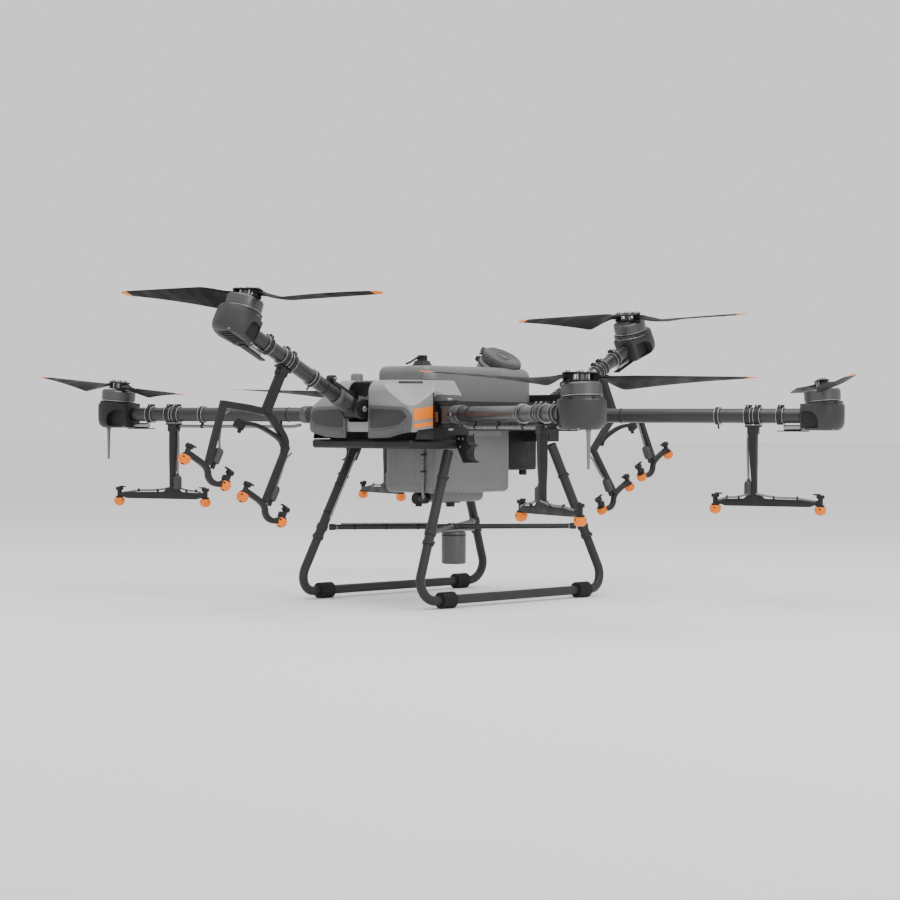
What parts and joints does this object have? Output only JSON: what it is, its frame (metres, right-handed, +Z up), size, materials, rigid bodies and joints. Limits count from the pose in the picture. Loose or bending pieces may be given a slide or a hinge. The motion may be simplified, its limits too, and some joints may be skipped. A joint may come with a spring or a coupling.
{
  "type": "agricultural spray drone",
  "caption": "six-rotor crop spraying drone with folding carbon arms, folding propellers, liquid tank, hanging nozzle bars and tubular skids",
  "frame": {"origin": "on the ground under the middle of the drone, midway between the four skid sleeves", "axes": "+Z up, nose towards -Y; left in node names means -X, as seen from in front of the nose"},
  "size_m": [2.7009, 2.0519, 0.8793],
  "materials": {
    "carbon_tube": "woven carbon fibre tube under clear lacquer",
    "motor_alloy": "anodised dark grey, turned and lightly worn",
    "dark_plastic": "moulded, fine grain",
    "blade_plastic": "carbon filled, satin, orange tips",
    "grey_shell": "satin light grey moulding",
    "tank_plastic": "blow moulded, slightly waxy",
    "leg_tube": "dark grey coated tube",
    "boom_plastic": "glass filled, fine grain"
  },
  "bodies": {
    "frame": {"arm_clip_left": "dark_plastic", "arm_clip_right": "dark_plastic", "brace_front_right": "leg_tube", "brace_long": "leg_tube", "brace_rear_left": "leg_tube", "chassis": "dark_plastic", "flight_controller": "dark_plastic", "gnss_antenna_left": "grey_shell", "gnss_antenna_right": "grey_shell", "leg_front_left": "leg_tube", "leg_front_right": "leg_tube", "leg_rear_left": "leg_tube", "leg_rear_right": "leg_tube", "nose_cover": "grey_shell", "pump": "dark_plastic", "radar": "tank_plastic", "radar_bracket": "motor_alloy", "skid_left": "leg_tube", "skid_right": "leg_tube", "tank": "tank_plastic", "vent_cap": "dark_plastic"},
    "arm_1": {"arm_1": "carbon_tube", "motor_housing_1": "dark_plastic", "spray_boom_1": "boom_plastic"},
    "rotor_1": {"motor_bell_1": "motor_alloy"},
    "blade_1a": {"blade_1a": "blade_plastic"},
    "blade_1b": {"blade_1b": "blade_plastic"},
    "arm_2": {"arm_2": "carbon_tube", "motor_housing_2": "dark_plastic", "spray_boom_2": "boom_plastic"},
    "rotor_2": {"motor_bell_2": "motor_alloy"},
    "blade_2a": {"blade_2a": "blade_plastic"},
    "blade_2b": {"blade_2b": "blade_plastic"},
    "arm_3": {"arm_3": "carbon_tube", "motor_housing_3": "dark_plastic", "spray_boom_3": "boom_plastic"},
    "rotor_3": {"motor_bell_3": "motor_alloy"},
    "blade_3a": {"blade_3a": "blade_plastic"},
    "blade_3b": {"blade_3b": "blade_plastic"},
    "arm_4": {"arm_4": "carbon_tube", "motor_housing_4": "dark_plastic", "spray_boom_4": "boom_plastic"},
    "rotor_4": {"motor_bell_4": "motor_alloy"},
    "blade_4a": {"blade_4a": "blade_plastic"},
    "blade_4b": {"blade_4b": "blade_plastic"},
    "arm_5": {"arm_5": "carbon_tube", "motor_housing_5": "dark_plastic", "spray_boom_5": "boom_plastic"},
    "rotor_5": {"motor_bell_5": "motor_alloy"},
    "blade_5a": {"blade_5a": "blade_plastic"},
    "blade_5b": {"blade_5b": "blade_plastic"},
    "arm_6": {"arm_6": "carbon_tube", "motor_housing_6": "dark_plastic", "spray_boom_6": "boom_plastic"},
    "rotor_6": {"motor_bell_6": "motor_alloy"},
    "blade_6a": {"blade_6a": "blade_plastic"},
    "blade_6b": {"blade_6b": "blade_plastic"},
    "tank_lid": {"tank_lid": "dark_plastic"},
    "battery": {"battery": "dark_plastic"}
  },
  "joints": [
    {"name": "arm_1_fold", "type": "hinge", "parent": "frame", "child": "arm_1", "pos_m": [0, -0.4, 0.551], "axis": [-1, 0, 0], "range_deg": [0, 45]},
    {"name": "arm_2_fold", "type": "hinge", "parent": "frame", "child": "arm_2", "pos_m": [-0.25, -0.273, 0.537], "axis": [-0.0145, 0.0411, -0.999], "range_deg": [0, 70]},
    {"name": "arm_3_fold", "type": "hinge", "parent": "frame", "child": "arm_3", "pos_m": [0.25, -0.273, 0.537], "axis": [-0.0145, -0.0411, 0.999], "range_deg": [0, 70]},
    {"name": "arm_4_fold", "type": "hinge", "parent": "frame", "child": "arm_4", "pos_m": [0, 0.4, 0.551], "axis": [1, 0, 0], "range_deg": [0, 45]},
    {"name": "arm_5_fold", "type": "hinge", "parent": "frame", "child": "arm_5", "pos_m": [0.25, 0.273, 0.537], "axis": [0.0662, -0.188, -0.9799], "range_deg": [0, 95]},
    {"name": "arm_6_fold", "type": "hinge", "parent": "frame", "child": "arm_6", "pos_m": [-0.25, 0.273, 0.537], "axis": [0.0662, 0.188, 0.9799], "range_deg": [0, 95]},
    {"name": "rotor_1_spin", "type": "hinge", "parent": "arm_1", "child": "rotor_1", "pos_m": [0, -0.81119, 0.81036], "axis": [0, 0.3256, 0.9455], "continuous": true},
    {"name": "blade_1a_fold", "type": "hinge", "parent": "rotor_1", "child": "blade_1a", "pos_m": [-0.03781, -0.81474, 0.81158], "axis": [0, 0.3256, 0.9455], "range_deg": [-90, 90]},
    {"name": "blade_1b_fold", "type": "hinge", "parent": "rotor_1", "child": "blade_1b", "pos_m": [0.03781, -0.80764, 0.80913], "axis": [0, 0.3256, 0.9455], "range_deg": [-90, 90]},
    {"name": "rotor_2_spin", "type": "hinge", "parent": "arm_2", "child": "rotor_2", "pos_m": [-0.94122, -0.51642, 0.57705], "axis": [0.074, 0.0261, 0.9969], "continuous": true},
    {"name": "blade_2a_fold", "type": "hinge", "parent": "rotor_2", "child": "blade_2a", "pos_m": [-0.97857, -0.5099, 0.57965], "axis": [0.074, 0.0261, 0.9969], "range_deg": [-90, 90]},
    {"name": "blade_2b_fold", "type": "hinge", "parent": "rotor_2", "child": "blade_2b", "pos_m": [-0.90388, -0.52294, 0.57445], "axis": [0.074, 0.0261, 0.9969], "range_deg": [-90, 90]},
    {"name": "rotor_3_spin", "type": "hinge", "parent": "arm_3", "child": "rotor_3", "pos_m": [0.94122, -0.51642, 0.57705], "axis": [-0.074, 0.0261, 0.9969], "continuous": true},
    {"name": "blade_3a_fold", "type": "hinge", "parent": "rotor_3", "child": "blade_3a", "pos_m": [0.95297, -0.48028, 0.57698], "axis": [-0.074, 0.0261, 0.9969], "range_deg": [-90, 90]},
    {"name": "blade_3b_fold", "type": "hinge", "parent": "rotor_3", "child": "blade_3b", "pos_m": [0.92948, -0.55256, 0.57712], "axis": [-0.074, 0.0261, 0.9969], "range_deg": [-90, 90]},
    {"name": "rotor_4_spin", "type": "hinge", "parent": "arm_4", "child": "rotor_4", "pos_m": [0, 0.81119, 0.81036], "axis": [0, -0.3256, 0.9455], "continuous": true},
    {"name": "blade_4a_fold", "type": "hinge", "parent": "rotor_4", "child": "blade_4a", "pos_m": [-0.03798, 0.81229, 0.81073], "axis": [0, -0.3256, 0.9455], "range_deg": [-90, 90]},
    {"name": "blade_4b_fold", "type": "hinge", "parent": "rotor_4", "child": "blade_4b", "pos_m": [0.03798, 0.81009, 0.80998], "axis": [0, -0.3256, 0.9455], "range_deg": [-90, 90]},
    {"name": "rotor_5_spin", "type": "hinge", "parent": "arm_5", "child": "rotor_5", "pos_m": [0.94122, 0.51642, 0.57705], "axis": [-0.074, -0.0261, 0.9969], "continuous": true},
    {"name": "blade_5a_fold", "type": "hinge", "parent": "rotor_5", "child": "blade_5a", "pos_m": [0.91479, 0.54369, 0.5758], "axis": [-0.074, -0.0261, 0.9969], "range_deg": [-90, 90]},
    {"name": "blade_5b_fold", "type": "hinge", "parent": "rotor_5", "child": "blade_5b", "pos_m": [0.96766, 0.48915, 0.5783], "axis": [-0.074, -0.0261, 0.9969], "range_deg": [-90, 90]},
    {"name": "rotor_6_spin", "type": "hinge", "parent": "arm_6", "child": "rotor_6", "pos_m": [-0.94122, 0.51642, 0.57705], "axis": [0.074, -0.0261, 0.9969], "continuous": true},
    {"name": "blade_6a_fold", "type": "hinge", "parent": "rotor_6", "child": "blade_6a", "pos_m": [-0.95234, 0.48008, 0.57693], "axis": [0.074, -0.0261, 0.9969], "range_deg": [-90, 90]},
    {"name": "blade_6b_fold", "type": "hinge", "parent": "rotor_6", "child": "blade_6b", "pos_m": [-0.93011, 0.55275, 0.57718], "axis": [0.074, -0.0261, 0.9969], "range_deg": [-90, 90]},
    {"name": "tank_lid_hinge", "type": "hinge", "parent": "frame", "child": "tank_lid", "pos_m": [-0.02704, 0.165, 0.72291], "axis": [0, -1, 0], "range_deg": [0, 110]},
    {"name": "battery_slide", "type": "slide", "parent": "frame", "child": "battery", "axis": [0, 1, 0], "range_m": [0, 0.2]}
  ]
}
